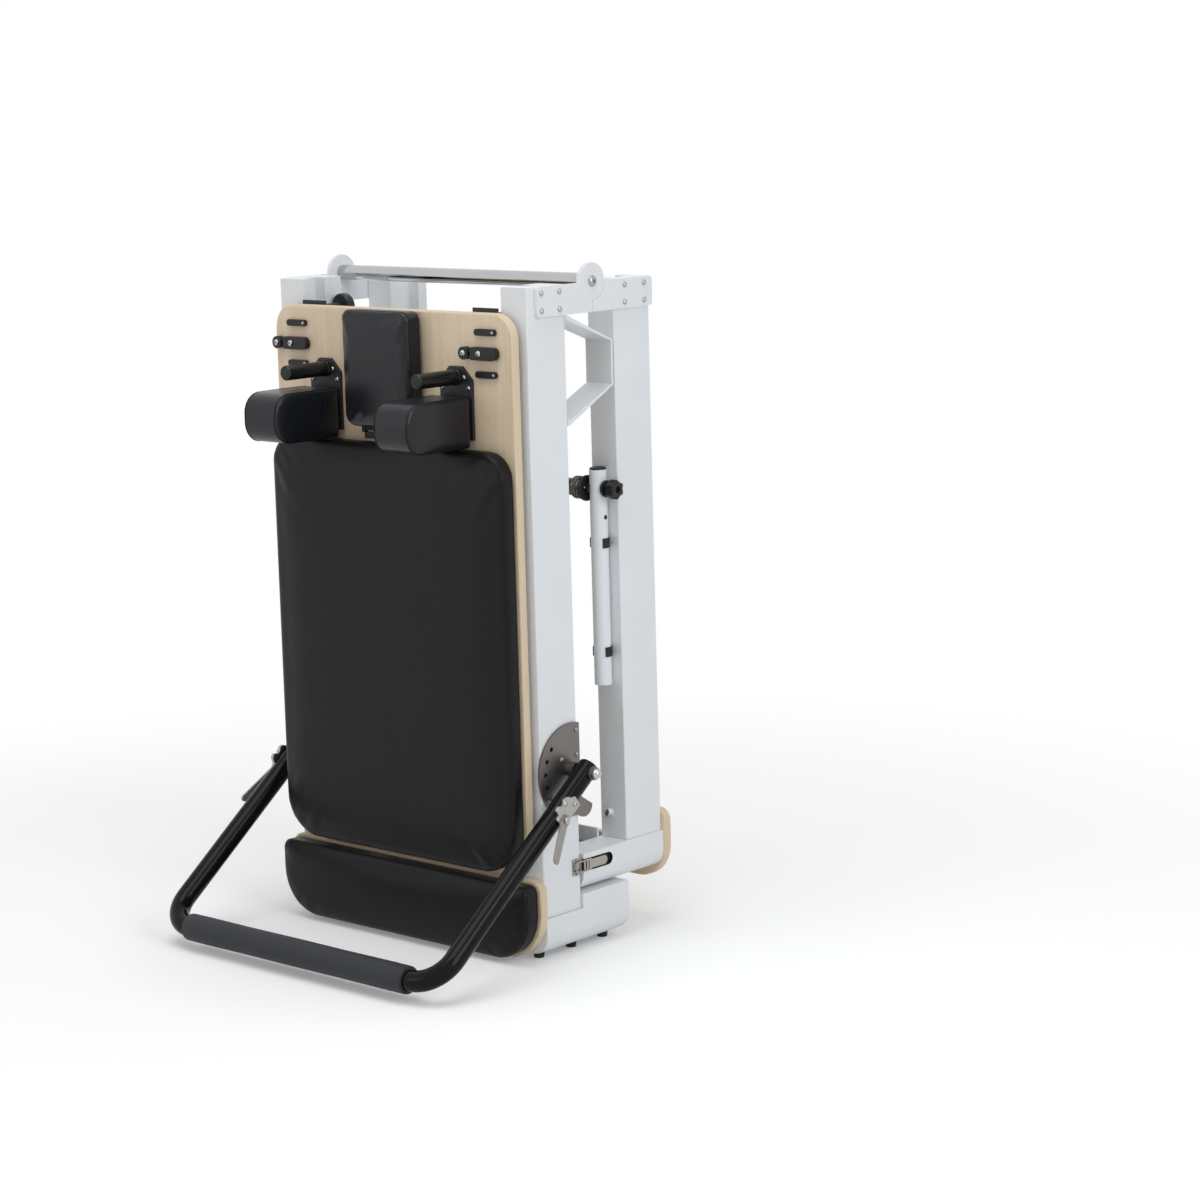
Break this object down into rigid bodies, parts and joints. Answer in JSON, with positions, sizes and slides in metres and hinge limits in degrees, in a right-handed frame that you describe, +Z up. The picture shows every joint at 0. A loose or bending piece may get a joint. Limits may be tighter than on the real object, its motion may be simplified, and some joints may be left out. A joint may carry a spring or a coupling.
{
  "type": "folding pilates reformer",
  "caption": "Folding pilates reformer stood upright on its foot end: hinged rail frame with sliding padded carriage, footbar, headrest, shoulder rests and stowed rope risers",
  "frame": {"origin": "on the floor under the middle of the folded machine, at the middle of its bounding box in X and Y", "axes": "+Z up, X across the machine, -Y towards the footbar and the cushions, +Y towards the head half"},
  "size_m": [0.814, 0.6796, 1.239],
  "materials": {
    "white_powder_coat": "white powder coat on aluminium, satin",
    "chrome_bar": "polished chrome plate",
    "pale_wood": "clear lacquered pale laminated wood",
    "black_leatherette": "soft satin black leatherette over foam",
    "brushed_steel": "brushed stainless steel",
    "black_paint": "gloss black paint on steel tube",
    "black_foam": "matte black foam sleeve",
    "black_steel": "satin black paint on steel",
    "rubber": "matte black rubber",
    "black_plastic": "fine satin black plastic",
    "wheel_plastic": "smooth dark wheel plastic",
    "flecked_rope": "braided rope, dark with pale flecks"
  },
  "bodies": {
    "foot_half": {"foot_frame": "white_powder_coat", "foot_strip_left": "rubber", "foot_strip_right": "rubber", "rail_foot_left": "white_powder_coat", "rail_foot_right": "white_powder_coat", "mid_foot_left": "white_powder_coat", "mid_foot_right": "white_powder_coat", "hinge_leaf_foot_left": "white_powder_coat", "hinge_leaf_foot_right": "white_powder_coat", "fold_bar": "chrome_bar", "platform_board": "pale_wood", "platform_cushion": "black_leatherette", "sector_plate_left": "brushed_steel", "sector_plate_right": "brushed_steel", "spring_bar": "black_steel"},
    "head_half": {"head_frame": "white_powder_coat", "rail_head_left": "white_powder_coat", "rail_head_right": "white_powder_coat", "hinge_leaf_head_left": "white_powder_coat", "hinge_leaf_head_right": "white_powder_coat", "head_board": "pale_wood", "riser_left": "white_powder_coat", "riser_right": "white_powder_coat", "rope_winding_left": "flecked_rope", "rope_winding_right": "flecked_rope", "riser_clip_low_left": "black_plastic", "riser_clip_low_right": "black_plastic", "riser_clip_high_left": "black_plastic", "riser_clip_high_right": "black_plastic"},
    "carriage": {"carriage_board": "pale_wood", "carriage_cushion": "black_leatherette", "headrest_hinge": "black_steel", "carriage_springs": "brushed_steel", "shoulder_pad_left": "black_leatherette", "shoulder_pad_right": "black_leatherette", "shoulder_bracket_left": "black_steel", "shoulder_bracket_right": "black_steel", "rope_fittings_left": "black_plastic", "rope_fittings_right": "black_plastic", "truck_upper": "black_steel", "truck_lower": "black_steel"},
    "headrest": {"headrest_base": "black_steel", "headrest_cushion": "black_leatherette"},
    "footbar": {"footbar_tube": "black_paint", "footbar_grip": "black_foam"},
    "lock_lever_left": {"lock_lever_left": "brushed_steel"},
    "lock_lever_right": {"lock_lever_right": "brushed_steel"},
    "latch_left": {"latch_lever_left": "brushed_steel"},
    "latch_right": {"latch_lever_right": "brushed_steel"},
    "knob_left": {"star_knob_left": "black_plastic"},
    "knob_right": {"star_knob_right": "black_plastic"},
    "cam_left": {"cleat_cam_left": "black_plastic"},
    "cam_right": {"cleat_cam_right": "black_plastic"},
    "load_wheels_upper": {"load_wheels_upper": "wheel_plastic"},
    "load_wheels_lower": {"load_wheels_lower": "wheel_plastic"},
    "guide_wheel_upper_left": {"guide_wheel_upper_left": "wheel_plastic"},
    "guide_wheel_upper_right": {"guide_wheel_upper_right": "wheel_plastic"},
    "guide_wheel_lower_left": {"guide_wheel_lower_left": "wheel_plastic"},
    "guide_wheel_lower_right": {"guide_wheel_lower_right": "wheel_plastic"}
  },
  "joints": [
    {"name": "fold", "type": "hinge", "parent": "foot_half", "child": "head_half", "pos_m": [0, 0.161, 1.206], "axis": [1, 0, 0], "range_deg": [0, 180]},
    {"name": "carriage_slide", "type": "slide", "parent": "foot_half", "child": "carriage", "axis": [0, 0, 1], "range_m": [0, 1]},
    {"name": "headrest_tilt", "type": "hinge", "parent": "carriage", "child": "headrest", "pos_m": [0, -0.0298, 0.943], "axis": [1, 0, 0], "range_deg": [0, 30]},
    {"name": "footbar_swing", "type": "hinge", "parent": "foot_half", "child": "footbar", "pos_m": [0, 0.077, 0.342], "axis": [-1, 0, 0], "range_deg": [0, 78]},
    {"name": "lock_lever_left_turn", "type": "hinge", "parent": "footbar", "child": "lock_lever_left", "pos_m": [-0.348, -0.00393, 0.27336], "axis": [-1, 0, 0], "range_deg": [0, 20], "stiffness_Nm_per_rad": 0.3},
    {"name": "latch_left_turn", "type": "hinge", "parent": "head_half", "child": "latch_left", "pos_m": [-0.3165, 0.168, 0.16], "axis": [0, 0, -1], "range_deg": [0, 120]},
    {"name": "star_knob_left_turn", "type": "hinge", "parent": "head_half", "child": "knob_left", "pos_m": [-0.298, 0.2064, 0.831], "axis": [-1, 0, 0], "continuous": true},
    {"name": "cleat_cam_left_turn", "type": "hinge", "parent": "carriage", "child": "cam_left", "pos_m": [-0.2485, -0.0263, 1.091], "axis": [0, -1, 0], "range_deg": [0, 20], "stiffness_Nm_per_rad": 0.05, "springref_deg": -17.19},
    {"name": "lock_lever_right_turn", "type": "hinge", "parent": "footbar", "child": "lock_lever_right", "pos_m": [0.348, -0.00393, 0.27336], "axis": [-1, 0, 0], "range_deg": [0, 20], "stiffness_Nm_per_rad": 0.3},
    {"name": "latch_right_turn", "type": "hinge", "parent": "head_half", "child": "latch_right", "pos_m": [0.3165, 0.168, 0.16], "axis": [0, 0, 1], "range_deg": [0, 120]},
    {"name": "star_knob_right_turn", "type": "hinge", "parent": "head_half", "child": "knob_right", "pos_m": [0.298, 0.2064, 0.831], "axis": [1, 0, 0], "continuous": true},
    {"name": "cleat_cam_right_turn", "type": "hinge", "parent": "carriage", "child": "cam_right", "pos_m": [0.2295, -0.0263, 1.091], "axis": [0, -1, 0], "range_deg": [0, 20], "stiffness_Nm_per_rad": 0.05, "springref_deg": -17.19},
    {"name": "load_wheels_upper_roll", "type": "hinge", "parent": "carriage", "child": "load_wheels_upper", "pos_m": [0, 0.039, 1.088], "axis": [1, 0, 0], "continuous": true},
    {"name": "load_wheels_lower_roll", "type": "hinge", "parent": "carriage", "child": "load_wheels_lower", "pos_m": [0, 0.039, 0.273], "axis": [1, 0, 0], "continuous": true},
    {"name": "guide_wheel_upper_left_roll", "type": "hinge", "parent": "carriage", "child": "guide_wheel_upper_left", "pos_m": [-0.2255, 0.077, 1.15], "axis": [0, 1, 0], "continuous": true},
    {"name": "guide_wheel_upper_right_roll", "type": "hinge", "parent": "carriage", "child": "guide_wheel_upper_right", "pos_m": [0.2255, 0.077, 1.15], "axis": [0, 1, 0], "continuous": true},
    {"name": "guide_wheel_lower_left_roll", "type": "hinge", "parent": "carriage", "child": "guide_wheel_lower_left", "pos_m": [-0.2255, 0.077, 0.211], "axis": [0, 1, 0], "continuous": true},
    {"name": "guide_wheel_lower_right_roll", "type": "hinge", "parent": "carriage", "child": "guide_wheel_lower_right", "pos_m": [0.2255, 0.077, 0.211], "axis": [0, 1, 0], "continuous": true}
  ],
  "couplings": [
    {"joint": "load_wheels_upper_roll", "follows": "carriage_slide", "rad_per_m": -60.976},
    {"joint": "load_wheels_lower_roll", "follows": "carriage_slide", "rad_per_m": -60.976},
    {"joint": "guide_wheel_upper_left_roll", "follows": "carriage_slide", "rad_per_m": -40},
    {"joint": "guide_wheel_upper_right_roll", "follows": "carriage_slide", "rad_per_m": 40},
    {"joint": "guide_wheel_lower_left_roll", "follows": "carriage_slide", "rad_per_m": -40},
    {"joint": "guide_wheel_lower_right_roll", "follows": "carriage_slide", "rad_per_m": 40}
  ]
}
